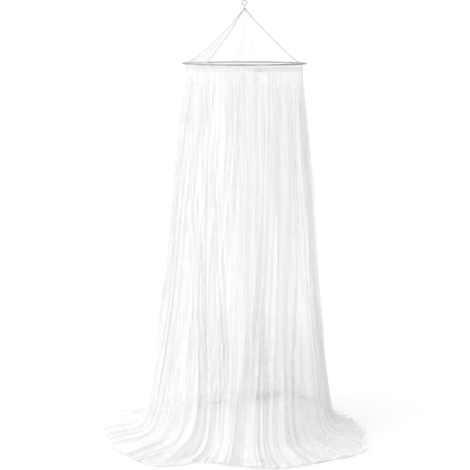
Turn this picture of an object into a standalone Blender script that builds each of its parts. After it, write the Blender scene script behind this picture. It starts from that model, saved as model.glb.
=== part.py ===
"""A round mosquito net canopy, hung from a small ring and gathered on to a steel hoop.

The origin is the point inside the top of the hanging ring where a ceiling hook bears. +Z is up,
-Y is the front and +X is the right. Lengths are metres and bearings are degrees from +X towards +Y.
Heights in the tables are above the floor, and above_floor() turns them into the frame's z.
"""

import math
from collections import namedtuple

import bpy
from mathutils import Vector

HOOK_HEIGHT = 2.134  # the origin above the floor that the hem lies on
GAP = 0.0003  # between pieces that touch in the real object
NAME = "mosquito_net_canopy"

# Hanging ring, its cord loop and the whipping that gathers the net's crown
RING_RADIUS = 0.012
RING_WIRE = 0.0018
LOOP_CORD = 0.0009
LOOP_HALF_WIDTH = RING_WIRE + GAP + LOOP_CORD
LOOP_TOP = HOOK_HEIGHT - 2 * (RING_RADIUS - RING_WIRE) + GAP + LOOP_CORD
LOOP_BOTTOM = 2.083
BINDING_INNER = 0.0043
BINDING_OUTER = 0.0056
BINDING_LOW = 2.089
BINDING_HIGH = 2.101

# Hoop and the heading that is folded over it
HOOP_HEIGHT = 1.834
HOOP_RADIUS = 0.300
HOOP_WIRE = 0.00275
HOOP_STEPS = 64
BAND_THICK = 0.001
BAND_DROP = 0.036
BAND_FOOT_RADIUS = 0.284
BAND_TUCK = 0.012  # below the hoop, where the leg has come in to the skirt's width
CASING_RADIUS = HOOP_WIRE + 0.0008 + BAND_THICK / 2

# Cone of four gores, each from its seam to the next
APEX_HEIGHT = 2.099
CROWN_RADIUS = 0.0088
SEAM_BEARINGS = (-31.0, 59.0, 149.0, 234.0)
GORE_THICK = 0.001
CONE_FOOT_HEIGHT = HOOP_HEIGHT + CASING_RADIUS + BAND_THICK / 2 + GAP + 0.0008
CONE_SAG = 0.05  # of the cone's height, on a seam
FLATTENED = 0.25  # how far the net midway between two seams falls short of a round cone
FLAT_UNTIL = 14  # the power of the share of the hoop's radius that brings it out to the hoop
SEAM_WIDTH = 0.006
SEAM_THICK = 0.001
CONE_ROWS = (CROWN_RADIUS / HOOP_RADIUS, 0.12, 0.26, 0.42, 0.58, 0.74, 0.87, 0.95, 1.0)
GORE_STEPS_ROUND = 6

# Skirt
NET_THICK = 0.0015
SKIRT_TOP_RADIUS = BAND_FOOT_RADIUS - 0.002
SKIRT_COLUMNS = 108
EDGE_START = (76.0, 66.0)  # bearing of one vertical edge at the top, and at the floor
EDGE_END = (460.0, 445.0)  # the other edge, a full turn further on, so that the two overlap
OVERLAP_EASE = 45.0  # degrees over which the overlapping ends part from the common line

Plan = namedtuple("Plan", "bearing contact hem")
# Where the skirt comes down on the floor, and where its hem lies, round the object
PLAN = (
    Plan(8, 0.425, 0.525),
    Plan(23, 0.430, 0.500),
    Plan(42, 0.435, 0.530),
    Plan(58, 0.420, 0.555),
    Plan(69, 0.330, 0.560),
    Plan(82, 0.240, 0.550),
    Plan(100, 0.200, 0.530),
    Plan(122, 0.195, 0.520),
    Plan(142, 0.220, 0.545),
    Plan(156, 0.290, 0.590),
    Plan(167, 0.400, 0.630),
    Plan(177, 0.460, 0.708),
    Plan(191, 0.475, 0.736),
    Plan(201, 0.465, 0.712),
    Plan(208, 0.455, 0.742),
    Plan(222, 0.440, 0.742),
    Plan(236, 0.425, 0.735),
    Plan(249, 0.410, 0.600),
    Plan(266, 0.410, 0.608),
    Plan(285, 0.415, 0.650),
    Plan(306, 0.410, 0.662),
    Plan(322, 0.395, 0.708),
    Plan(333, 0.405, 0.660),
    Plan(348, 0.420, 0.612),
)

Fold = namedtuple("Fold", "bearing lean width depth lift")
# Main ridges: bearing at the top, its change by the floor, half width, how far it stands out
# where it hangs, and how high it stands where it lies
FOLDS = (
    Fold(8, 2, 4.5, 0.010, 0.012),
    Fold(20, 1, 5.0, 0.014, 0.014),
    Fold(33, -2, 5.0, 0.010, 0.010),
    Fold(46, -3, 5.5, 0.015, 0.012),
    Fold(59, -6, 5.0, 0.012, 0.010),
    Fold(72, -9, 5.0, 0.013, 0.012),
    Fold(85, -12, 5.0, 0.010, 0.010),
    Fold(97, -12, 4.5, 0.012, 0.014),
    Fold(111, -6, 5.0, 0.010, 0.010),
    Fold(124, 0, 6.0, 0.015, 0.016),
    Fold(137, 5, 5.0, 0.012, 0.010),
    Fold(149, 8, 4.5, 0.013, 0.012),
    Fold(160, 7, 5.0, 0.010, 0.010),
    Fold(172, 4, 5.0, 0.014, 0.018),
    Fold(184, 3, 5.0, 0.012, 0.022),
    Fold(195, 0, 4.0, 0.014, 0.014),
    Fold(205, -1, 4.0, 0.010, 0.020),
    Fold(216, 3, 4.5, 0.015, 0.024),
    Fold(227, 1, 3.5, 0.010, 0.014),
    Fold(238, -2, 4.0, 0.014, 0.020),
    Fold(253, 8, 6.0, 0.020, 0.026),
    Fold(266, 5, 4.0, 0.009, 0.012),
    Fold(279, -2, 5.0, 0.014, 0.016),
    Fold(294, 0, 6.0, 0.020, 0.024),
    Fold(312, 1, 5.5, 0.016, 0.018),
    Fold(327, 1, 4.0, 0.014, 0.022),
    Fold(338, 1, 5.0, 0.010, 0.014),
    Fold(351, 3, 5.0, 0.012, 0.020),
)

Station = namedtuple("Station", "height flare reach fold lift layer")
# Down the skirt: height, share of the way out from the heading to the contact line, share of the
# way from there to the hem, share of each fold's depth and lift, and half the space between the
# two layers where the ends overlap
STATIONS = (
    Station(1.7968, 0.000, 0.00, 0.15, 0.0, 0.0015),
    Station(1.7500, 0.000, 0.00, 0.40, 0.0, 0.0030),
    Station(1.6200, 0.060, 0.00, 0.70, 0.0, 0.0055),
    Station(1.3600, 0.235, 0.00, 0.85, 0.0, 0.0070),
    Station(1.0500, 0.425, 0.00, 0.95, 0.0, 0.0070),
    Station(0.7400, 0.560, 0.00, 1.00, 0.0, 0.0070),
    Station(0.4600, 0.750, 0.00, 1.00, 0.0, 0.0060),
    Station(0.2500, 0.915, 0.01, 1.00, 0.0, 0.0050),
    Station(0.1200, 0.990, 0.06, 0.95, 0.1, 0.0040),
    Station(0.0440, 1.000, 0.18, 0.75, 0.4, 0.0030),
    Station(0.0100, 1.000, 0.36, 0.40, 0.9, 0.0025),
    Station(0.0020, 1.000, 0.60, 0.15, 1.0, 0.0020),
    Station(0.0020, 1.000, 0.82, 0.05, 0.8, 0.0020),
    Station(0.0020, 1.000, 1.00, 0.00, 0.5, 0.0020),
)

Finish = namedtuple("Finish", "color roughness metallic")
STEEL = Finish((0.30, 0.30, 0.31, 1), 0.35, 1.0)
CORD = Finish((0.80, 0.80, 0.80, 1), 0.80, 0.0)
NET = Finish((0.92, 0.92, 0.92, 1), 0.85, 0.0)


def above_floor(height):
    return height - HOOK_HEIGHT


def polar(radius, bearing, z):
    turn = math.radians(bearing)
    return Vector((radius * math.cos(turn), radius * math.sin(turn), z))


def clear_scene():
    for old in list(bpy.data.objects):
        bpy.data.objects.remove(old)


def add_collection():
    parts = bpy.data.collections.new(NAME)
    bpy.context.scene.collection.children.link(parts)
    return parts


def material(name, finish):
    made = bpy.data.materials.new(name)
    made.use_nodes = True
    shader = made.node_tree.nodes["Principled BSDF"]
    shader.inputs["Base Color"].default_value = finish.color
    shader.inputs["Roughness"].default_value = finish.roughness
    shader.inputs["Metallic"].default_value = finish.metallic
    return made


def add_object(parts, name, data, finish):
    """An object of its own, with its own material, in the canopy's collection."""
    piece = bpy.data.objects.new(name, data)
    data.materials.append(material(name, finish))
    parts.objects.link(piece)
    return piece


def take_object(parts, name, finish):
    """The object that a bpy.ops primitive has just made, moved to the canopy's collection."""
    piece = bpy.context.active_object
    for home in list(piece.users_collection):
        home.objects.unlink(piece)
    parts.objects.link(piece)
    piece.name = name
    piece.data.materials.append(material(name, finish))
    piece.data.shade_smooth()
    return piece


def add_grid(parts, name, rows, thick, finish):
    """A sheet from rows of points, thickened evenly about its middle by Solidify."""
    across = len(rows[0])
    faces = []
    for i in range(len(rows) - 1):
        for j in range(across - 1):
            corner = i * across + j
            faces.append((corner, corner + across, corner + across + 1, corner + 1))
    sheet = bpy.data.meshes.new(name)
    sheet.from_pydata([point for row in rows for point in row], [], faces)
    sheet.shade_smooth()
    piece = add_object(parts, name, sheet, finish)
    solidify = piece.modifiers.new("thickness", "SOLIDIFY")
    solidify.thickness = thick
    solidify.offset = 0.0
    return piece


def turned(parts, name, profile, closed, finish, steps=HOOP_STEPS):
    """A profile of (radius, z) points, turned about the vertical axis."""
    links = [(i, i + 1) for i in range(len(profile) - 1)]
    if closed:
        links.append((len(profile) - 1, 0))
    line = bpy.data.meshes.new(name)
    line.from_pydata([(radius, 0.0, z) for radius, z in profile], links, [])
    piece = add_object(parts, name, line, finish)
    screw = piece.modifiers.new("turn", "SCREW")
    screw.steps = steps
    screw.render_steps = steps
    screw.use_merge_vertices = True
    screw.merge_threshold = 0.00001
    return piece


def add_hanging_ring(parts):
    bpy.ops.mesh.primitive_torus_add(
        major_radius=RING_RADIUS,
        minor_radius=RING_WIRE,
        major_segments=40,
        minor_segments=10,
        location=(0, 0, -(RING_RADIUS - RING_WIRE)),
        rotation=(math.pi / 2, 0, 0),
    )
    take_object(parts, "hanging_ring", STEEL)


def add_hanging_loop(parts):
    """A closed loop of cord, round the ring's wire above and below the crown's whipping."""
    bend_steps = 8
    path = []
    for centre, start in ((LOOP_TOP - LOOP_HALF_WIDTH, 0), (LOOP_BOTTOM + LOOP_HALF_WIDTH, 180)):
        for step in range(bend_steps + 1):
            turn = math.radians(start + 180 * step / bend_steps)
            y = LOOP_HALF_WIDTH * math.cos(turn)
            path.append((0.0, y, above_floor(centre) + LOOP_HALF_WIDTH * math.sin(turn)))
    cord = bpy.data.curves.new("hanging_loop", "CURVE")
    cord.dimensions = "3D"
    cord.bevel_depth = LOOP_CORD
    cord.bevel_resolution = 2
    line = cord.splines.new("POLY")
    line.points.add(len(path) - 1)
    for point, place in zip(line.points, path):
        point.co = (*place, 1.0)
    line.use_cyclic_u = True
    add_object(parts, "hanging_loop", cord, CORD)


def add_crown_binding(parts):
    """Whipping round the gathered crown, with the cord loop through it."""
    profile = (
        (BINDING_OUTER, above_floor(BINDING_HIGH)),
        (BINDING_OUTER, above_floor(BINDING_LOW)),
        (BINDING_INNER, above_floor(BINDING_LOW)),
        (BINDING_INNER, above_floor(BINDING_HIGH)),
    )
    turned(parts, "crown_binding", profile, True, CORD, steps=32)


def add_hoop(parts):
    bpy.ops.mesh.primitive_torus_add(
        major_radius=HOOP_RADIUS,
        minor_radius=HOOP_WIRE,
        major_segments=HOOP_STEPS,
        minor_segments=8,
        location=(0, 0, above_floor(HOOP_HEIGHT)),
    )
    take_object(parts, "hoop", STEEL)


def add_heading_band(parts):
    """Casing over the hoop, with its outer leg tucked in under it and down to the gathers."""
    centre = above_floor(HOOP_HEIGHT)
    first, last, steps = -50, 210, 6
    arc = []
    for step in range(steps + 1):
        turn = math.radians(first + (last - first) * step / steps)
        radius = HOOP_RADIUS + CASING_RADIUS * math.cos(turn)
        arc.append((radius, centre + CASING_RADIUS * math.sin(turn)))
    tuck_middle = (HOOP_RADIUS + BAND_FOOT_RADIUS) / 2 + 0.001
    outer_leg = [
        (BAND_FOOT_RADIUS, centre - BAND_DROP + BAND_THICK / 2),
        (BAND_FOOT_RADIUS + 0.0005, centre - BAND_TUCK),
        (tuck_middle, centre - 0.6 * BAND_TUCK),
    ]
    profile = list(reversed(outer_leg + arc))
    band = turned(parts, "heading_band", profile, False, NET)
    solidify = band.modifiers.new("thickness", "SOLIDIFY")
    solidify.thickness = BAND_THICK
    solidify.offset = 0.0


def cone_height(radius):
    """How high the cone's seam lines are at a radius, sagging a little from apex to hoop."""
    share = radius / HOOP_RADIUS
    drop = share + CONE_SAG * 4 * share * (1 - share)
    return APEX_HEIGHT - drop * (APEX_HEIGHT - CONE_FOOT_HEIGHT)


def cone_point(share, bearing, start, width):
    """A point of the net between two seams, pulled flat but for its foot on the hoop."""
    radius = share * HOOP_RADIUS
    between = math.sin(math.pi * (bearing - start) / width) ** 2
    pulled = radius * (1 - FLATTENED * (1 - share**FLAT_UNTIL) * between)
    return polar(pulled, bearing, above_floor(cone_height(radius)))


def add_gores(parts):
    ends = SEAM_BEARINGS[1:] + (SEAM_BEARINGS[0] + 360,)
    for gore, (start, end) in enumerate(zip(SEAM_BEARINGS, ends), 1):
        rows = []
        for share in CONE_ROWS:
            edge = math.degrees(GAP / 2 / (share * HOOP_RADIUS))
            span = end - start - 2 * edge
            steps = range(GORE_STEPS_ROUND + 1)
            bearings = [start + edge + span * step / GORE_STEPS_ROUND for step in steps]
            rows.append([cone_point(share, bearing, start, end - start) for bearing in bearings])
        add_grid(parts, f"cone_gore_{gore}", rows, GORE_THICK, NET)


def add_seams(parts):
    """A narrow tape over each seam between two gores."""
    lifted = GORE_THICK / 2 + GAP + SEAM_THICK / 2 + 0.0002
    radii = [share * HOOP_RADIUS for share in CONE_ROWS]
    for seam, bearing in enumerate(SEAM_BEARINGS, 1):
        side = polar(1, bearing + 90, 0)
        line = [polar(radius, bearing, above_floor(cone_height(radius))) for radius in radii]
        rows = []
        for i, point in enumerate(line):
            along = (line[min(i + 1, len(line) - 1)] - line[max(i - 1, 0)]).normalized()
            outward = along.cross(side).normalized()
            if outward.z < 0:
                outward.negate()
            half = min(SEAM_WIDTH / 2, 0.35 * radii[i])
            middle = point + outward * lifted
            rows.append([middle - side * half, middle + side * half])
        add_grid(parts, f"cone_seam_{seam}", rows, SEAM_THICK, NET)


def around(rows, bearing, column):
    """A column of a table at any bearing, on a smooth closed curve through the rows."""
    count = len(rows)
    bearing %= 360
    after = next((i for i, row in enumerate(rows) if row.bearing > bearing), 0)
    near = [rows[(after + step) % count] for step in (-2, -1, 0, 1)]
    places = [row.bearing for row in near]
    for i in range(1, 4):
        while places[i] < places[i - 1]:
            places[i] += 360
    if bearing < places[1]:
        bearing += 360
    values = [getattr(row, column) for row in near]
    span = places[2] - places[1]
    share = (bearing - places[1]) / span
    slope_in = (values[2] - values[0]) / (places[2] - places[0]) * span
    slope_out = (values[3] - values[1]) / (places[3] - places[1]) * span
    square, cube = share**2, share**3
    return (
        (2 * cube - 3 * square + 1) * values[1]
        + (cube - 2 * square + share) * slope_in
        + (3 * square - 2 * cube) * values[2]
        + (cube - square) * slope_out
    )


def folds_at(bearing, down, column):
    """The ridges' summed height at a bearing, down being 0 at the heading and 1 at the floor."""
    total = 0.0
    for fold in FOLDS:
        away = (bearing - fold.bearing - fold.lean * down + 180) % 360 - 180
        total += getattr(fold, column) * math.exp(-((away / fold.width) ** 2))
    return total


def layer_side(turn, start, end):
    """-1 on the end that lies inside the overlap, +1 on the end outside it, and 0 between them."""
    inside = max(0.0, 1 - (turn - start) / OVERLAP_EASE)
    outside = max(0.0, 1 - (end - turn) / OVERLAP_EASE)
    return math.sin(outside * math.pi / 2) - math.sin(inside * math.pi / 2)


def skirt_point(station, turn, side):
    down = 1 - station.height / STATIONS[0].height
    contact = around(PLAN, turn, "contact")
    hem = around(PLAN, turn, "hem")
    radius = SKIRT_TOP_RADIUS + station.flare * (contact - SKIRT_TOP_RADIUS)
    radius += station.reach * (hem - contact)
    radius += station.fold * folds_at(turn, down, "depth")
    radius += side * station.layer * (1 - station.lift)
    lift = station.lift * (folds_at(turn, 1, "lift") + (1 + side) * station.layer)
    return polar(radius, turn, above_floor(station.height + lift))


def add_skirt(parts):
    """One wide panel of net, gathered at the top and spread on the floor, its ends overlapping."""
    rows = []
    for station in STATIONS:
        down = 1 - station.height / STATIONS[0].height
        start = EDGE_START[0] + down * (EDGE_START[1] - EDGE_START[0])
        end = EDGE_END[0] + down * (EDGE_END[1] - EDGE_END[0])
        row = []
        for column in range(SKIRT_COLUMNS + 1):
            turn = start + (end - start) * column / SKIRT_COLUMNS
            row.append(skirt_point(station, turn, layer_side(turn, start, end)))
        rows.append(row)
    add_grid(parts, "skirt", rows, NET_THICK, NET)


def main():
    clear_scene()
    parts = add_collection()
    add_hanging_ring(parts)
    add_hanging_loop(parts)
    add_crown_binding(parts)
    add_gores(parts)
    add_seams(parts)
    add_hoop(parts)
    add_heading_band(parts)
    add_skirt(parts)


main()
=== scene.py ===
"""The looks of a round mosquito net canopy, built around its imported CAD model.

The frame's origin is the point inside the top of the hanging ring. +Z is up, -Y is the front and
+X is the right. Lengths are metres and bearings are degrees from +X towards +Y. Heights in the
tables are above the floor, and above_floor() turns them into the frame's z.
"""

import math
from collections import namedtuple

import bpy
import numpy as np
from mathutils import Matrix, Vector


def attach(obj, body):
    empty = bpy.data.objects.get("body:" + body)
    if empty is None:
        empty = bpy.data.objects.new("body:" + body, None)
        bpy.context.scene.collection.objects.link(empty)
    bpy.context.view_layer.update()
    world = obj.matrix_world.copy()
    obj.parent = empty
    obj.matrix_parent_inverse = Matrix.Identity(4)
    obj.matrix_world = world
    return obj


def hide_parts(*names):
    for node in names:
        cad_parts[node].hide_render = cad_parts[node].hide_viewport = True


HOOK_HEIGHT = 2.134

# Camera: its place with the height above the floor, degrees that it looks down, and its lens
CAMERA_PLACE = (-0.046, -5.5, 1.977)
CAMERA_PITCH = 10.24
CAMERA_LENS = 85.38
SENSOR = 36.0

# Hoop, heading band and cone, as the CAD model has them
HOOP_HEIGHT = 1.834
HOOP_RADIUS = 0.300
HOOP_WIRE = 0.00275
BAND_THICK = 0.001
BAND_DROP = 0.036
BAND_FOOT_RADIUS = 0.284
BAND_TUCK = 0.012
CASING_RADIUS = HOOP_WIRE + 0.0008 + BAND_THICK / 2
APEX_HEIGHT = 2.099
CROWN_RADIUS = 0.0088
SEAM_BEARINGS = (-31.0, 59.0, 149.0, 234.0)
CONE_FOOT_HEIGHT = HOOP_HEIGHT + CASING_RADIUS + BAND_THICK / 2 + 0.0011
CROWN_SHARE = CROWN_RADIUS / HOOP_RADIUS  # where the gores start, as a share of the hoop's radius
CONE_SAG = 0.05
FLATTENED = 0.25  # how far a gore draws in between its seams, as a share of its radius
FLAT_UNTIL = 14  # the higher, the nearer to the hoop the gore stays drawn in
SEAM_WIDTH = 0.006

# Skirt, as the CAD model has it
SKIRT_TOP_RADIUS = BAND_FOOT_RADIUS - 0.002
# Bearings of the sheet's two upright edges, each at the heading and on the floor, and the degrees
# over which the edges ease past each other where they overlap
EDGE_START = (76.0, 66.0)
EDGE_END = (460.0, 445.0)
OVERLAP_EASE = 45.0
FLOOR_CLEAR = 0.0012
POOL_SETTLE = 0.007  # how much lower the net lies on the floor than its CAD solid's folds
LIES_AT = 0.5  # share of the floor's spread from which the net lies flat

# Sizes that the cloths are stated to be cut to, width by length
SKIRT_FLAT = (3.6, 2.15)
CONE_FLAT = (0.50, 0.40)
BAND_FLAT = (2.6, 0.055)

# Fineness of the visible meshes
SKIRT_COLUMNS = 1260
BAND_COLUMNS = 1080
GORE_ROWS = 70
GORE_COLUMNS = 121
SEAM_ROWS = 90

# An irregular line: how many waves of it the cloth's width holds, and its size
Wander = namedtuple("Wander", "waves size")

# The heading band: wrinkles that run round it, gathers that run down it, and its rippled edge
BAND_SEED = 5
BAND_WRINKLES = 5
BAND_WRINKLE_DEPTH = 0.0019
WRINKLE_RISE = Wander((3, 7, 11, 19), 0.9)
WRINKLE_FADE = Wander((5, 9, 17), 1.1)
BandGather = namedtuple("BandGather", "count depth")
BAND_GATHERS = (BandGather(139, 0.0007), BandGather(211, 0.0005))
BAND_GATHER_SWAY = Wander((4, 9, 16), 1.5)
BAND_EDGE_RIPPLE = 0.0012
BAND_EDGE = Wander((13, 29, 41), 1.0)

# Creases of a gore: a fan from the crown, and wider pulls over the rest
GORE_SEED = 60
GORE_ROW_SPREAD = 1.1
FAN_COUNTS = (7, 12, 19)
FAN_SWAY = Wander((1, 2, 3), 0.4)
FAN_DEPTH = 0.0016
FAN_REACH = 0.22
FAN_ONSET = 0.02
PULL_COUNTS = (2.4, 4.1, 6.3)
PULL_DEPTH = 0.0011

# A seam's section, from one edge to the other: share of its half width, and how far it swells out
SeamPoint = namedtuple("SeamPoint", "across swell")
SEAM_SECTION = (
    SeamPoint(-1.0, 0.0),
    SeamPoint(-0.6, 0.0008),
    SeamPoint(-0.2, 0.0013),
    SeamPoint(0.2, 0.0013),
    SeamPoint(0.6, 0.0008),
    SeamPoint(1.0, 0.0),
)
SEAM_LIFT = 0.0009
STITCH_DEPTH = 0.0002
STITCH_TURN = 1.9  # radians of the stitches' wave from one row of the mesh to the next

Plan = namedtuple("Plan", "bearing contact hem")
PLAN = (
    Plan(8, 0.425, 0.525),
    Plan(23, 0.430, 0.500),
    Plan(42, 0.435, 0.530),
    Plan(58, 0.420, 0.555),
    Plan(69, 0.330, 0.560),
    Plan(82, 0.240, 0.550),
    Plan(100, 0.200, 0.530),
    Plan(122, 0.195, 0.520),
    Plan(142, 0.220, 0.545),
    Plan(156, 0.290, 0.590),
    Plan(167, 0.400, 0.630),
    Plan(177, 0.460, 0.708),
    Plan(191, 0.475, 0.736),
    Plan(201, 0.465, 0.712),
    Plan(208, 0.455, 0.742),
    Plan(222, 0.440, 0.742),
    Plan(236, 0.425, 0.735),
    Plan(249, 0.410, 0.600),
    Plan(266, 0.410, 0.608),
    Plan(285, 0.415, 0.650),
    Plan(306, 0.410, 0.662),
    Plan(322, 0.395, 0.708),
    Plan(333, 0.405, 0.660),
    Plan(348, 0.420, 0.612),
)

Fold = namedtuple("Fold", "bearing lean width depth lift")
FOLDS = (
    Fold(8, 2, 4.5, 0.010, 0.012),
    Fold(20, 1, 5.0, 0.014, 0.014),
    Fold(33, -2, 5.0, 0.010, 0.010),
    Fold(46, -3, 5.5, 0.015, 0.012),
    Fold(59, -6, 5.0, 0.012, 0.010),
    Fold(72, -9, 5.0, 0.013, 0.012),
    Fold(85, -12, 5.0, 0.010, 0.010),
    Fold(97, -12, 4.5, 0.012, 0.014),
    Fold(111, -6, 5.0, 0.010, 0.010),
    Fold(124, 0, 6.0, 0.015, 0.016),
    Fold(137, 5, 5.0, 0.012, 0.010),
    Fold(149, 8, 4.5, 0.013, 0.012),
    Fold(160, 7, 5.0, 0.010, 0.010),
    Fold(172, 4, 5.0, 0.014, 0.018),
    Fold(184, 3, 5.0, 0.012, 0.022),
    Fold(195, 0, 4.0, 0.014, 0.014),
    Fold(205, -1, 4.0, 0.010, 0.020),
    Fold(216, 3, 4.5, 0.015, 0.024),
    Fold(227, 1, 3.5, 0.010, 0.014),
    Fold(238, -2, 4.0, 0.014, 0.020),
    Fold(253, 8, 6.0, 0.020, 0.026),
    Fold(266, 5, 4.0, 0.009, 0.012),
    Fold(279, -2, 5.0, 0.014, 0.016),
    Fold(294, 0, 6.0, 0.020, 0.024),
    Fold(312, 1, 5.5, 0.016, 0.018),
    Fold(327, 1, 4.0, 0.014, 0.022),
    Fold(338, 1, 5.0, 0.010, 0.014),
    Fold(351, 3, 5.0, 0.012, 0.020),
)

Station = namedtuple("Station", "height flare reach fold lift layer")
STATIONS = (
    Station(1.7968, 0.000, 0.00, 0.15, 0.0, 0.0015),
    Station(1.7500, 0.000, 0.00, 0.40, 0.0, 0.0030),
    Station(1.6200, 0.060, 0.00, 0.70, 0.0, 0.0055),
    Station(1.3600, 0.235, 0.00, 0.85, 0.0, 0.0070),
    Station(1.0500, 0.425, 0.00, 0.95, 0.0, 0.0070),
    Station(0.7400, 0.560, 0.00, 1.00, 0.0, 0.0070),
    Station(0.4600, 0.750, 0.00, 1.00, 0.0, 0.0060),
    Station(0.2500, 0.915, 0.01, 1.00, 0.0, 0.0050),
    Station(0.1200, 0.990, 0.06, 0.95, 0.1, 0.0040),
    Station(0.0440, 1.000, 0.18, 0.75, 0.4, 0.0030),
    Station(0.0100, 1.000, 0.36, 0.40, 0.9, 0.0025),
    Station(0.0020, 1.000, 0.60, 0.15, 1.0, 0.0020),
    Station(0.0020, 1.000, 0.82, 0.05, 0.8, 0.0020),
    Station(0.0020, 1.000, 1.00, 0.00, 0.5, 0.0020),
)
# Rows of the visible mesh between one station and the next
ROWS_BETWEEN = (3, 5, 6, 6, 6, 6, 6, 5, 5, 5, 4, 4, 4)

Fine = namedtuple("Fine", "count top upper lower pool hem curl seed")
# Families of gathers: how many, their depth at the heading, at 1.6 m, at 0.5 m, on the floor and
# at the hem, and how far each fold curls over on itself
FINE = (
    Fine(41, 0.0010, 0.0095, 0.0135, 0.0100, 0.0120, 0.55, 11),
    Fine(77, 0.0016, 0.0048, 0.0050, 0.0045, 0.0060, 0.45, 23),
    Fine(151, 0.0018, 0.0016, 0.0010, 0.0016, 0.0020, 0.25, 37),
)
# The scale on which those depths are read: the height above the floor and, where the net lies on
# it, on down from 0.02 by FINE_FLOOR_RUN at the hem
FINE_HEIGHTS = (STATIONS[0].height, 1.60, 0.50, 0.02, -0.30)
FINE_FLOOR_FROM = 0.2  # share of the floor's spread from which the net counts as lying
FINE_FLOOR_RUN = 0.32
# What makes the gathers uneven: their spacing, their sway and how often it turns on the way down,
# their depth with its middle and limits, and their skew with the lean it gives
SPACING = Wander((2.3, 5.1, 8.7, 13.9), 1.9)
SWAY = Wander((3.7, 7.9, 12.1), 0.9)
SWAY_TURNS = (1.1, 1.9, 3.1)
SWELL = Wander((6.1, 11.3, 19.7, 31.1), 0.75)
SWELL_MIDDLE = 0.62
SWELL_LIMITS = (0.08, 1.6)
SKEW = Wander((9.1, 17.3), 0.5)
SKEW_LEAN = 1.2
SECOND_WAVE = 0.28  # how much sharper than a plain wave a fold is
SECOND_PHASE = 1.3

Net = namedtuple("Net", "pitch open_alpha thread_alpha thread_width tone")
# Nets and tapes: the spacing of the threads in metres, how solid the holes and the threads are,
# how wide the threads are, from 0 to 1, and how light the cloth is
NETS = {
    "net_mesh": Net(0.0021, 0.10, 0.78, 0.155, 0.92),
    "cone_mesh": Net(0.0021, 0.06, 0.50, 0.12, 0.92),
    # The left gore's copy of the cone net, denser and darker in tone than the others: painted shade
    "cone_mesh_painted_shade": Net(0.0021, 0.42, 0.90, 0.25, 0.72),
    "casing_mesh": Net(0.0017, 0.18, 0.80, 0.22, 0.84),
    # The four seams are alike; the dark copy, for the seam on the shaded front right, is painted shade
    "seam_mesh_painted_shade": Net(0.0009, 0.80, 1.0, 0.3, 0.30),
    "seam_mesh_pale": Net(0.0009, 0.45, 0.8, 0.3, 0.50),
    "seam_mesh_faint": Net(0.0009, 0.10, 0.3, 0.2, 0.85),
}
MESH_SLANT = 0.6
Hem = namedtuple("Hem", "length width density")
SKIRT_HEM = Hem(SKIRT_FLAT[1], 0.012, 0.35)
# How far down the net it starts and stops bunching up, and how much denser it is from there: partly
# the bunched net and partly painted shade, darker towards the floor
BunchAndShade = namedtuple("BunchAndShade", "start end density")
SKIRT_BUNCH_AND_SHADE = BunchAndShade(1.30, 1.85, 2.4)

# Light: the world's grey at the left and at the right, the scale of it all, what overhead adds,
# and the key lamp, with its heights above the floor
WORLD_LEFT = 0.84
WORLD_RIGHT = 0.04
WORLD_SCALE = 1.06
WORLD_OVERHEAD = 0.80
KEY_PLACE = (-4.6, -2.6, 3.2)
KEY_AIM = (0, 0, 1.0)
KEY_SIZE = 2.4
KEY_POWER = 70


def above_floor(height):
    return height - HOOK_HEIGHT


# ---------------------------------------------------------------- materials


class Nodes:
    """A short way to add and link nodes in one tree."""

    def __init__(self, tree):
        self.tree = tree

    def add(self, kind, **values):
        node = self.tree.nodes.new(kind)
        for key, value in values.items():
            setattr(node, key, value)
        return node

    def put(self, value, socket):
        if isinstance(value, bpy.types.NodeSocket):
            self.tree.links.new(value, socket)
        else:
            socket.default_value = value

    def math(self, operation, *values):
        node = self.add("ShaderNodeMath", operation=operation)
        for value, socket in zip(values, node.inputs):
            self.put(value, socket)
        return node.outputs[0]

    def ramp(self, value, low, high, start, end):
        node = self.add("ShaderNodeMapRange", interpolation_type="SMOOTHSTEP")
        for item, socket in zip((value, low, high, start, end), node.inputs):
            self.put(item, socket)
        return node.outputs[0]

    def noise(self, vector, scale, detail):
        node = self.add("ShaderNodeTexNoise")
        self.put(vector, node.inputs["Vector"])
        node.inputs["Scale"].default_value = scale
        node.inputs["Detail"].default_value = detail
        return node.outputs["Fac"]

    def bump(self, height, strength, distance):
        node = self.add("ShaderNodeBump")
        node.inputs["Strength"].default_value = strength
        node.inputs["Distance"].default_value = distance
        self.put(height, node.inputs["Height"])
        return node.outputs["Normal"]

    def grey(self, value):
        node = self.add("ShaderNodeCombineColor")
        for socket in node.inputs:
            self.put(value, socket)
        return node.outputs[0]


def new_material(name):
    made = bpy.data.materials.new(name)
    made.use_nodes = True
    shader = made.node_tree.nodes["Principled BSDF"]
    return made, Nodes(made.node_tree), shader


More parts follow.
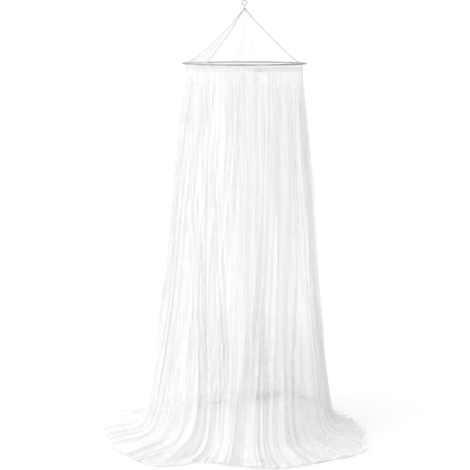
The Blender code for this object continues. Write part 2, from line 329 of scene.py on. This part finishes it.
def net_material(name, hem=None, bunch_and_shade=None):
    """Knitted mesh from a UV map in metres: its threads and its holes, in broad uneven bands."""
    net = NETS[name]
    made, nodes, shader = new_material(name)
    uv = nodes.add("ShaderNodeUVMap").outputs[0]
    split = nodes.add("ShaderNodeSeparateXYZ")
    nodes.put(uv, split.inputs[0])
    across, along = split.outputs[0], split.outputs[1]
    lines = []
    for sign in (1, -1):
        slanted = nodes.math("MULTIPLY_ADD", along, MESH_SLANT * sign, across)
        wave = nodes.math("SINE", nodes.math("MULTIPLY", slanted, math.pi / net.pitch))
        lines.append(nodes.math("ABSOLUTE", wave))
    nearest = nodes.math("MINIMUM", *lines)
    width = net.thread_width
    alpha = nodes.ramp(nearest, width, width * 2.2, net.thread_alpha, net.open_alpha)
    uneven = nodes.noise(uv, 9.0, 3.0)
    alpha = nodes.math("MULTIPLY", alpha, nodes.ramp(uneven, 0.3, 0.7, 0.88, 1.12))
    stretched = nodes.add("ShaderNodeCombineXYZ")
    nodes.put(nodes.math("MULTIPLY", across, 5.5), stretched.inputs[0])
    nodes.put(nodes.math("MULTIPLY", along, 0.5), stretched.inputs[1])
    bands = nodes.noise(stretched.outputs[0], 1.0, 2.5)
    alpha = nodes.math("MULTIPLY", alpha, nodes.ramp(bands, 0.32, 0.68, 0.62, 1.38))
    # Denser towards the floor: partly the net bunching up, partly painted shade
    if bunch_and_shade:
        bunched_and_shaded = nodes.ramp(along, bunch_and_shade.start, bunch_and_shade.end, 1.0, bunch_and_shade.density)
        alpha = nodes.math("MULTIPLY", alpha, bunched_and_shaded)
    if hem:
        start = hem.length - hem.width
        edge = nodes.ramp(along, start, start + 0.001, 0.0, hem.density)
        alpha = nodes.math("ADD", alpha, edge)
    nodes.put(nodes.math("MINIMUM", alpha, 1.0), shader.inputs["Alpha"])
    shade = nodes.ramp(nodes.noise(uv, 320.0, 1.0), 0.3, 0.7, net.tone * 0.95, net.tone)
    nodes.put(nodes.grey(shade), shader.inputs["Base Color"])
    nodes.put(nodes.bump(nearest, 0.3, 0.0003), shader.inputs["Normal"])
    shader.inputs["Roughness"].default_value = 0.85
    shader.inputs["Specular IOR Level"].default_value = 0.2
    shader.inputs["Sheen Weight"].default_value = 0.15
    return made


def steel_material(name, low, high, roughness):
    """Dull wire, with streaks and a few darker patches."""
    made, nodes, shader = new_material(name)
    place = nodes.add("ShaderNodeTexCoord").outputs["Object"]
    streaks = nodes.noise(place, 420.0, 3.0)
    patches = nodes.noise(place, 24.0, 2.0)
    mixed = nodes.math("MULTIPLY_ADD", patches, 0.6, nodes.math("MULTIPLY", streaks, 0.4))
    nodes.put(nodes.grey(nodes.ramp(mixed, 0.3, 0.7, low, high)), shader.inputs["Base Color"])
    rough = nodes.ramp(streaks, 0.3, 0.7, roughness - 0.08, roughness + 0.1)
    nodes.put(rough, shader.inputs["Roughness"])
    nodes.put(nodes.bump(streaks, 0.2, 0.0002), shader.inputs["Normal"])
    shader.inputs["Metallic"].default_value = 1.0
    return made


def cord_material(name, tone):
    """Twisted polyester cord: slanting strands with dark lines between, painted shade in the grooves.
    """
    made, nodes, shader = new_material(name)
    place = nodes.add("ShaderNodeTexCoord").outputs["Object"]
    split = nodes.add("ShaderNodeSeparateXYZ")
    nodes.put(place, split.inputs[0])
    slant = nodes.math("ADD", nodes.math("ADD", split.outputs[0], split.outputs[1]), split.outputs[2])
    strands = nodes.math("SINE", nodes.math("MULTIPLY", slant, 2 * math.pi / 0.0011))
    # Darker in the grooves between the strands: painted shade
    shade = nodes.ramp(strands, -1.0, 0.4, tone * 0.6, tone)
    nodes.put(nodes.grey(shade), shader.inputs["Base Color"])
    nodes.put(nodes.bump(strands, 0.5, 0.0002), shader.inputs["Normal"])
    shader.inputs["Roughness"].default_value = 0.75
    shader.inputs["Sheen Weight"].default_value = 0.2
    return made


# ---------------------------------------------------------------- shapes


def around(rows, column, bearings):
    """A column of a table at many bearings, on the smooth closed curve the CAD model uses."""
    marks = np.array([row.bearing for row in rows], float)
    values = np.array([getattr(row, column) for row in rows], float)
    marks = np.concatenate([marks[-2:] - 360, marks, marks[:2] + 360])
    values = np.concatenate([values[-2:], values, values[:2]])
    at = np.mod(bearings, 360)
    i = np.clip(np.searchsorted(marks, at, side="right") - 1, 1, len(marks) - 3)
    span = marks[i + 1] - marks[i]
    share = (at - marks[i]) / span
    slope_in = (values[i + 1] - values[i - 1]) / (marks[i + 1] - marks[i - 1]) * span
    slope_out = (values[i + 2] - values[i]) / (marks[i + 2] - marks[i]) * span
    square, cube = share**2, share**3
    return (
        (2 * cube - 3 * square + 1) * values[i]
        + (cube - 2 * square + share) * slope_in
        + (3 * square - 2 * cube) * values[i + 1]
        + (cube - square) * slope_out
    )


def monotone(values, at):
    """A smooth curve through values at 0, 1, 2 and on, which never runs past them."""
    values = np.array(values, float)
    steps = np.diff(values)
    slopes = np.zeros_like(values)
    product = steps[:-1] * steps[1:]
    total = steps[:-1] + steps[1:]
    safe = np.where(product > 0, total, 1.0)
    slopes[1:-1] = np.where(product > 0, 2 * product / safe, 0.0)
    slopes[0], slopes[-1] = steps[0], steps[-1]
    i = np.clip(at.astype(int), 0, len(values) - 2)
    t = at - i
    return (
        (2 * t**3 - 3 * t**2 + 1) * values[i]
        + (t**3 - 2 * t**2 + t) * slopes[i]
        + (3 * t**2 - 2 * t**3) * values[i + 1]
        + (t**3 - t**2) * slopes[i + 1]
    )


def folds_at(bearings, down, column):
    """The main folds' depth or lift at many bearings; down is 0 at the heading and 1 on the floor."""
    total = np.zeros_like(bearings)
    for fold in FOLDS:
        away = np.mod(bearings - fold.bearing - fold.lean * down + 180, 360) - 180
        total += getattr(fold, column) * np.exp(-((away / fold.width) ** 2))
    return total


def wander(rng, across, line):
    """A smooth irregular line across the cloth, from a few waves of random phase."""
    total = np.zeros_like(across)
    for wave in line.waves:
        total += rng.uniform(0.4, 1.0) * np.sin(2 * math.pi * (wave * across + rng.random()))
    return line.size * total / len(line.waves)


def gathers(family, across, along, depth):
    """How far a family of gathers stands out, and how far it leans sideways, in metres."""
    rng = np.random.default_rng(family.seed)
    phase = family.count * across + wander(rng, across, SPACING)
    for wave in SWAY_TURNS:
        sway = wander(rng, across, SWAY)
        phase = phase + sway * np.sin(math.pi * (wave * along + rng.random()))
    swell = SWELL_MIDDLE + wander(rng, across + 0.02 * along, SWELL)
    size = depth * np.clip(swell, *SWELL_LIMITS)
    turn = 2 * math.pi * phase
    skew = wander(rng, across, SKEW)
    out = size * (np.cos(turn) + SECOND_WAVE * np.cos(2 * turn + SECOND_PHASE + skew))
    return out, -family.curl * size * (np.sin(2 * turn) + SKEW_LEAN * skew * np.sin(turn))


def grid_mesh(name, points, uv):
    """A mesh from an array of points by row and column, with a UV map in metres."""
    rows, columns = points.shape[:2]
    index = np.arange(rows * columns).reshape(rows, columns)
    quads = np.stack([index[:-1, :-1], index[1:, :-1], index[1:, 1:], index[:-1, 1:]], -1)
    quads = quads.reshape(-1, 4)
    mesh = bpy.data.meshes.new(name)
    mesh.vertices.add(rows * columns)
    mesh.vertices.foreach_set("co", points.reshape(-1).astype(np.float32))
    mesh.loops.add(quads.size)
    mesh.loops.foreach_set("vertex_index", quads.reshape(-1).astype(np.int32))
    mesh.polygons.add(len(quads))
    mesh.polygons.foreach_set("loop_start", np.arange(0, quads.size, 4, dtype=np.int32))
    mesh.update(calc_edges=True)
    layer = mesh.uv_layers.new(name="UVMap")
    corners = uv.reshape(-1, 2)[quads.reshape(-1)]
    layer.data.foreach_set("uv", corners.reshape(-1).astype(np.float32))
    mesh.polygons.foreach_set("use_smooth", np.full(len(quads), True))
    mesh.validate()
    return mesh


def add_piece(name, mesh, material, node):
    """A piece that stands for one CAD node."""
    piece = bpy.data.objects.new(name, mesh)
    bpy.context.scene.collection.objects.link(piece)
    piece.data.materials.append(material)
    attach(piece, "root")
    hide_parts(node)
    return piece


def uv_grid(rows, columns, width, length):
    """UVs in metres over a flat cloth, where length lists how far down it each row is."""
    across = np.linspace(0, width, columns)
    return np.stack(np.meshgrid(across, length), -1).reshape(rows, columns, 2)


# ---------------------------------------------------------------- skirt


def skirt_rows():
    """Places of the mesh's rows, in stations: 0 is the first station and 1 the next."""
    marks = [0.0]
    for station, count in enumerate(ROWS_BETWEEN):
        marks += [station + (step + 1) / count for step in range(count)]
    return np.array(marks)


def skirt_surface():
    """The skirt's points by row and column, and how far down the flat cloth each row is."""
    at = skirt_rows()
    column = {
        field: monotone([getattr(row, field) for row in STATIONS], at)[:, None]
        for field in Station._fields
    }
    across = np.linspace(0, 1, SKIRT_COLUMNS + 1)[None, :] * np.ones((len(at), 1))
    down = 1 - column["height"] / STATIONS[0].height
    start = EDGE_START[0] + down * (EDGE_START[1] - EDGE_START[0])
    end = EDGE_END[0] + down * (EDGE_END[1] - EDGE_END[0])
    turn = start + (end - start) * across
    inside = np.clip(1 - (turn - start) / OVERLAP_EASE, 0, 1)
    outside = np.clip(1 - (end - turn) / OVERLAP_EASE, 0, 1)
    side = np.sin(outside * math.pi / 2) - np.sin(inside * math.pi / 2)
    contact = around(PLAN, "contact", turn)
    hem = around(PLAN, "hem", turn)
    radius = SKIRT_TOP_RADIUS + column["flare"] * (contact - SKIRT_TOP_RADIUS)
    radius += column["reach"] * (hem - contact)
    radius += column["fold"] * folds_at(turn, down, "depth")
    radius += side * column["layer"] * (1 - column["lift"])
    lift = column["lift"] * (folds_at(turn, np.ones_like(down), "lift") + (1 + side) * column["layer"])
    height = column["height"] + lift - POOL_SETTLE * np.clip(column["reach"] / LIES_AT, 0, 1)

    # The profile's own normal at each point: outwards where it hangs, upwards where it lies
    slope_r = np.gradient(radius, axis=0)
    slope_z = np.gradient(height, axis=0)
    size = np.hypot(slope_r, slope_z) + 1e-9
    out_r, out_z = -slope_z / size, slope_r / size
    lies = np.clip(column["reach"] / LIES_AT, 0, 1)
    travelled = np.cumsum(size, axis=0)
    along = travelled / travelled[-1:]

    # Gathers, over the main folds
    floor_at = FINE_HEIGHTS[3] - FINE_FLOOR_RUN * column["reach"]
    depth_at = np.where(column["reach"] > FINE_FLOOR_FROM, floor_at, column["height"])
    marks = np.array(FINE_HEIGHTS)[::-1]
    quiet = 1 - 0.5 * np.clip(np.abs(side), 0, 1)
    bearing_shift = np.zeros_like(radius)
    ruffle = np.zeros_like(radius)
    for family in FINE:
        depths = np.array([family.hem, family.pool, family.lower, family.upper, family.top])
        depth = np.interp(depth_at, marks, depths)
        out, lean = gathers(family, across, along, depth * quiet)
        raised = out + lies * depth * 0.35
        radius += raised * out_r * (1 - 0.5 * lies)
        height += raised * np.abs(out_z)
        bearing_shift += np.degrees(lean / radius)
        ruffle += out * lies
    radius += 0.6 * ruffle * np.clip((column["reach"] - 0.7) / 0.3, 0, 1)
    turn = np.radians(turn + bearing_shift)
    height = np.maximum(height, FLOOR_CLEAR + 0.0008 * (1 + side))
    points = np.stack([radius * np.cos(turn), radius * np.sin(turn), above_floor(height)], -1)
    return points, along.mean(axis=1) * SKIRT_FLAT[1]


def add_skirt(material):
    points, lengths = skirt_surface()
    rows, columns = points.shape[:2]
    mesh = grid_mesh("net_skirt", points, uv_grid(rows, columns, SKIRT_FLAT[0], lengths))
    piece = add_piece("net_skirt", mesh, material, "skirt")


# ---------------------------------------------------------------- heading band


def band_profile():
    """The casing over the hoop and its leg, from the inner edge over the top to the gathers."""
    arc = []
    for degrees in np.linspace(210, -50, 15):
        turn = math.radians(degrees)
        place = (HOOP_RADIUS + CASING_RADIUS * math.cos(turn), CASING_RADIUS * math.sin(turn))
        arc.append(place)
    middle = (HOOP_RADIUS + BAND_FOOT_RADIUS) / 2 + 0.001
    leg = [(middle, -0.6 * BAND_TUCK), (BAND_FOOT_RADIUS + 0.0005, -BAND_TUCK)]
    foot = -BAND_DROP + BAND_THICK / 2
    leg += [(BAND_FOOT_RADIUS, z) for z in np.linspace(-BAND_TUCK - 0.002, foot, 12)]
    return np.array(arc + leg)


def add_band(material):
    """The heading band, with wrinkles that run round it and gathers that run down it."""
    profile = band_profile()
    across = np.linspace(0, 1, BAND_COLUMNS + 1)[None, :]
    rng = np.random.default_rng(BAND_SEED)
    share = np.clip((-profile[:, 1] - BAND_TUCK) / (BAND_DROP - BAND_TUCK), 0, 1)[:, None]
    radius = profile[:, 0][:, None] * np.ones_like(across)
    height = profile[:, 1][:, None] * np.ones_like(across)
    for wave in range(BAND_WRINKLES):
        rise = wander(rng, across, WRINKLE_RISE)
        fade = np.clip(0.5 + wander(rng, across, WRINKLE_FADE), 0, 1)
        ring = np.sin(2 * math.pi * ((1.2 + 0.7 * wave) * share + rise + wave * 0.37))
        radius = radius + BAND_WRINKLE_DEPTH * ring * fade * np.sin(math.pi * share)
    for count, depth in BAND_GATHERS:
        sway = wander(rng, across, BAND_GATHER_SWAY)
        radius = radius + depth * share * np.sin(2 * math.pi * (count * across + sway))
    height = height - BAND_EDGE_RIPPLE * share * wander(rng, across, BAND_EDGE)
    turn = 2 * math.pi * across
    z = above_floor(HOOP_HEIGHT) + height
    points = np.stack([radius * np.cos(turn), radius * np.sin(turn), z * np.ones_like(turn)], -1)
    steps = np.hypot(*np.diff(profile, axis=0).T)
    lengths = np.concatenate([[0], np.cumsum(steps)])
    uv = uv_grid(len(profile), BAND_COLUMNS + 1, BAND_FLAT[0], lengths)
    mesh = grid_mesh("net_heading_band", points, uv)
    piece = add_piece("net_heading_band", mesh, material, "heading_band")


# ---------------------------------------------------------------- cone


def cone_height(share):
    """Height of the cone's seams at a share of the hoop's radius."""
    drop = share + CONE_SAG * 4 * share * (1 - share)
    return APEX_HEIGHT - drop * (APEX_HEIGHT - CONE_FOOT_HEIGHT)


def gore_surface(start, end, rng):
    """A gore's points and UVs between two seams, with its creases."""
    t = np.linspace(0, 1, GORE_ROWS)[:, None]
    share = CROWN_SHARE + (1 - CROWN_SHARE) * t**GORE_ROW_SPREAD
    u = np.linspace(0, 1, GORE_COLUMNS)[None, :]
    bearing = start + (end - start) * u
    between = np.sin(math.pi * u) ** 2
    radius = share * HOOP_RADIUS * (1 - FLATTENED * (1 - share**FLAT_UNTIL) * between)
    height = cone_height(share) * np.ones_like(u)
    out = share - CROWN_SHARE
    fan = np.exp(-((out / FAN_REACH) ** 2)) * (1 - np.exp(-((out / FAN_ONSET) ** 2)))
    edge = np.sin(math.pi * u) ** 0.5
    for count in FAN_COUNTS:
        phase = count * u + rng.random() + wander(rng, u, FAN_SWAY)
        height = height + FAN_DEPTH * fan * np.sin(2 * math.pi * phase) * edge
    for count in PULL_COUNTS:
        wave = np.sin(2 * math.pi * (count * u + rng.random() + 0.5 * share))
        height = height + PULL_DEPTH * np.sin(math.pi * share) * wave * edge
    turn = np.radians(bearing)
    points = np.stack([radius * np.cos(turn), radius * np.sin(turn), above_floor(height)], -1)
    width = CONE_FLAT[0] * share
    uv = np.stack([(u - 0.5) * width, CONE_FLAT[1] * share * np.ones_like(u)], -1)
    return points, uv


def add_gores(materials):
    """The cone's four panels, each from one seam to the next."""
    ends = SEAM_BEARINGS[1:] + (SEAM_BEARINGS[0] + 360,)
    for gore, (start, end) in enumerate(zip(SEAM_BEARINGS, ends), 1):
        name = f"net_gore_{gore}"
        points, uv = gore_surface(start, end, np.random.default_rng(GORE_SEED + gore))
        mesh = grid_mesh(name, points, uv)
        piece = add_piece(name, mesh, materials[gore - 1], f"cone_gore_{gore}")


def add_seams(materials):
    """Folded seams between the gores: a narrow ridge with a row of stitches along it."""
    section = np.array(SEAM_SECTION)
    across, swell = section[:, 0], section[:, 1]
    seams = []
    for seam, bearing in enumerate(SEAM_BEARINGS, 1):
        share = np.linspace(CROWN_SHARE, 1, SEAM_ROWS)
        line = np.stack([share * HOOP_RADIUS, above_floor(cone_height(share))], -1)
        slope = np.gradient(line, axis=0)
        slope /= np.hypot(*slope.T)[:, None]
        out = np.stack([-slope[:, 1], slope[:, 0]], -1)
        turn = math.radians(bearing)
        half = np.minimum(SEAM_WIDTH / 2, 0.35 * line[:, 0])
        stitches = STITCH_DEPTH * np.sin(np.arange(SEAM_ROWS) * STITCH_TURN)
        lifted = SEAM_LIFT + swell[None, :] + stitches[:, None]
        radius = line[:, 0][:, None] + out[:, 0][:, None] * lifted
        z = line[:, 1][:, None] + out[:, 1][:, None] * lifted
        aside = half[:, None] * across[None, :]
        x = radius * math.cos(turn) - aside * math.sin(turn)
        y = radius * math.sin(turn) + aside * math.cos(turn)
        points = np.stack([x, y, z], -1)
        uv = uv_grid(SEAM_ROWS, len(across), SEAM_WIDTH, share * CONE_FLAT[1])
        name = f"net_seam_{seam}"
        mesh = grid_mesh(name, points, uv)
        piece = add_piece(name, mesh, materials[seam - 1], f"cone_seam_{seam}")
        seams.append(piece)
    return seams


# ---------------------------------------------------------------- studio


def add_camera():
    data = bpy.data.cameras.new("camera")
    data.sensor_width = SENSOR
    data.lens = CAMERA_LENS
    data.clip_end = 60
    camera = bpy.data.objects.new("camera", data)
    x, y, height = CAMERA_PLACE
    camera.location = (x, y, above_floor(height))
    camera.rotation_euler = (math.radians(90 - CAMERA_PITCH), 0, 0)
    bpy.context.scene.collection.objects.link(camera)
    bpy.context.scene.camera = camera


def add_floor():
    size = 40.0
    mesh = bpy.data.meshes.new("floor")
    corners = [(-size, -size), (size, -size), (size, size), (-size, size)]
    mesh.from_pydata([(x, y, above_floor(0.0)) for x, y in corners], [], [(0, 1, 2, 3)])
    floor = bpy.data.objects.new("floor", mesh)
    bpy.context.scene.collection.objects.link(floor)
    made, _, shader = new_material("floor_pale")
    shader.inputs["Base Color"].default_value = (0.93, 0.93, 0.93, 1)
    shader.inputs["Roughness"].default_value = 0.9
    shader.inputs["Specular IOR Level"].default_value = 0.1
    floor.data.materials.append(made)


def add_world():
    """White behind, bright overhead, and a grey in front that darkens from left to right."""
    world = bpy.data.worlds.new("studio")
    bpy.context.scene.world = world
    world.use_nodes = True
    nodes = Nodes(world.node_tree)
    background = world.node_tree.nodes["Background"]
    split = nodes.add("ShaderNodeSeparateXYZ")
    nodes.put(nodes.add("ShaderNodeTexCoord").outputs["Generated"], split.inputs[0])
    back = nodes.ramp(split.outputs[1], -0.1, 0.9, 0.0, 1.0)
    right = nodes.ramp(split.outputs[0], -0.6, 0.6, WORLD_LEFT, WORLD_RIGHT)
    level = nodes.math("MULTIPLY", nodes.math("MAXIMUM", back, right), WORLD_SCALE)
    overhead = nodes.ramp(split.outputs[2], 0.3, 0.9, 0.0, WORLD_OVERHEAD)
    nodes.put(nodes.grey(nodes.math("ADD", level, overhead)), background.inputs["Color"])


def add_light(name, place, aim, size, power):
    data = bpy.data.lights.new(name, "AREA")
    data.shape = "SQUARE"
    data.size = size
    data.energy = power
    light = bpy.data.objects.new(name, data)
    light.location = (place[0], place[1], above_floor(place[2]))
    toward = Vector((aim[0], aim[1], above_floor(aim[2]))) - light.location
    light.rotation_euler = toward.to_track_quat("-Z", "Y").to_euler()
    bpy.context.scene.collection.objects.link(light)


def use_node_material(node, material):
    """A better finish for a CAD node that stays as it is."""
    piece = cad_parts[node]
    piece.data.materials.clear()
    piece.data.materials.append(material)


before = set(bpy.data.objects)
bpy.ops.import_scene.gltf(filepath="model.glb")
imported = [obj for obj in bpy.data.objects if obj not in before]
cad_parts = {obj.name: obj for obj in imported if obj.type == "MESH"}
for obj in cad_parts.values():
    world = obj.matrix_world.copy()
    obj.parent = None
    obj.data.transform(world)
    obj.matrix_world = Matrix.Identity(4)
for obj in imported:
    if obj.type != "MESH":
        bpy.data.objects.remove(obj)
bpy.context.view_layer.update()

scene = bpy.context.scene
scene.view_settings.view_transform = "Standard"
scene.cycles.transparent_max_bounces = 48

add_camera()
add_floor()
add_world()
add_light("key_left", KEY_PLACE, KEY_AIM, KEY_SIZE, KEY_POWER)

net = net_material("net_mesh", hem=SKIRT_HEM, bunch_and_shade=SKIRT_BUNCH_AND_SHADE)
cone_net = net_material("cone_mesh")
painted_shade_cone_net = net_material("cone_mesh_painted_shade")
casing = net_material("casing_mesh")
seam_painted_shade = net_material("seam_mesh_painted_shade")
seam_pale = net_material("seam_mesh_pale")
seam_faint = net_material("seam_mesh_faint")
hoop_steel = steel_material("hoop_steel", 0.03, 0.09, 0.5)
ring_steel = steel_material("ring_steel", 0.30, 0.50, 0.35)
cord = cord_material("twisted_cord", 0.55)

use_node_material("hoop", hoop_steel)
use_node_material("hanging_ring", ring_steel)
use_node_material("hanging_loop", cord)
use_node_material("crown_binding", cord)

# Seam 1, at the front right, takes the dark copy as painted shade
seams = add_seams([seam_painted_shade, seam_faint, seam_pale, seam_pale])
# Gore 3, on the left, takes the denser, darker copy of the cone net as painted shade
add_gores([cone_net, cone_net, painted_shade_cone_net, cone_net])
add_band(casing)
add_skirt(net)
